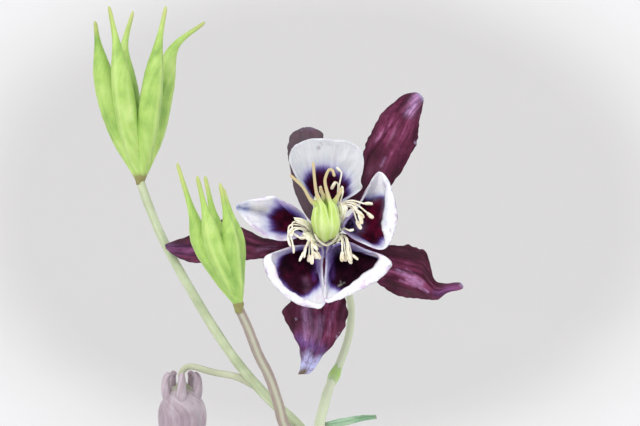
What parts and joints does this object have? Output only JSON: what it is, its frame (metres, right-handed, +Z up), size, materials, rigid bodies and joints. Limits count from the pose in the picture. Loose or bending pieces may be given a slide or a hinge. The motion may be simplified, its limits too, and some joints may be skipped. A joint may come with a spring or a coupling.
{
  "type": "columbine in vase",
  "caption": "Cut columbine sprig with an open white-edged bloom, green seed heads, a nodding bud and a bract, standing in a plain bottle vase.",
  "frame": {"origin": "middle of the vase's flat foot, on the surface that it stands on", "axes": "+Z up the vase's axis, the open bloom faces -Y, +X to the right as the bloom is seen"},
  "size_m": [0.0755, 0.0678, 0.2747],
  "materials": {
    "glaze": "gloss",
    "water": "gloss",
    "stem": "satin",
    "sepal": "satin",
    "petal": "satin",
    "pistil": "satin",
    "stamen": "matte",
    "pod": "satin",
    "bud": "satin",
    "bract": "satin"
  },
  "bodies": {
    "root": {"vase": "glaze", "water": "water", "stem": "stem", "sepal_upper_right": "sepal", "sepal_right": "sepal", "sepal_lower": "sepal", "sepal_left": "sepal", "sepal_back": "sepal", "petal_upper": "petal", "petal_right": "petal", "petal_lower_right": "petal", "petal_lower_left": "petal", "petal_left": "petal", "pistil": "pistil", "stamens": "stamen", "pod_upper": "pod", "pod_lower": "pod", "bud": "bud", "bract": "bract"}
  },
  "joints": []
}
